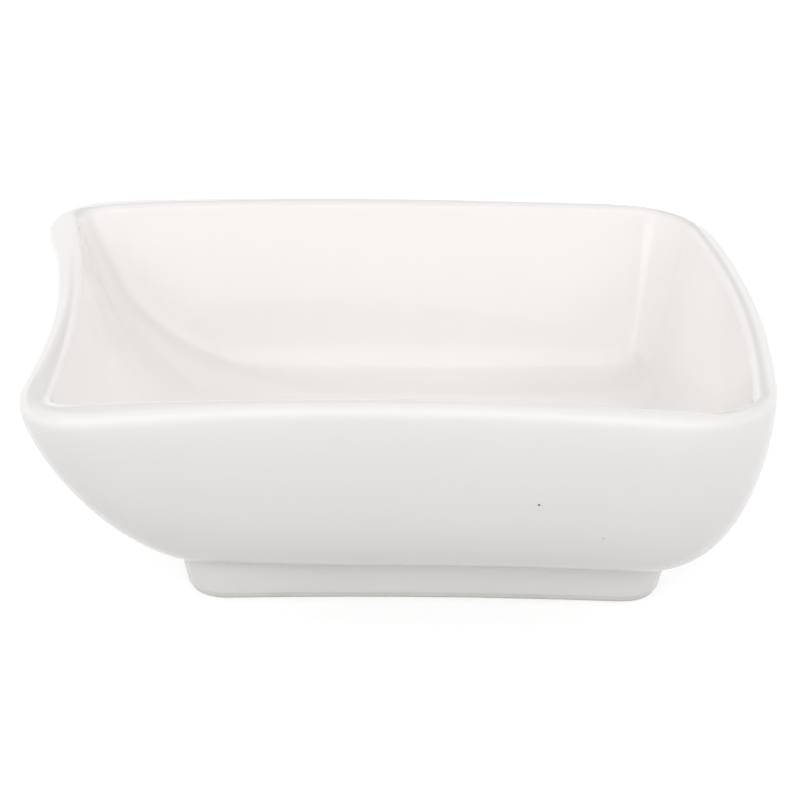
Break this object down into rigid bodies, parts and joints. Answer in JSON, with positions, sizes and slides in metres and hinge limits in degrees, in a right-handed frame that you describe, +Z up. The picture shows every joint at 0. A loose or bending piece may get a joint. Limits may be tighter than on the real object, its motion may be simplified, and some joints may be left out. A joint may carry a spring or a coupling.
{
  "type": "soy sauce dish",
  "caption": "Small white glazed porcelain dish for dipping sauce: a rounded quadrilateral bowl with one side drawn in, a thick flat lip and a low foot ring.",
  "frame": {"origin": "on the table plane, at the middle of the rim's length and depth", "axes": "+X along the length towards the swelling right side, +Y from the near long side to the far one, +Z up"},
  "size_m": [0.092, 0.0792, 0.0321],
  "materials": {
    "porcelain": "fired porcelain body, covered by the glaze",
    "bare_porcelain": "matte, unglazed and ground smooth where it stands",
    "white_glaze": "high gloss, warm white",
    "hidden_glaze": "high gloss, warm white"
  },
  "bodies": {
    "root": {"bowl": "porcelain", "foot_ring": "bare_porcelain", "glaze_coat": "white_glaze", "underside_glaze": "hidden_glaze"}
  },
  "joints": []
}
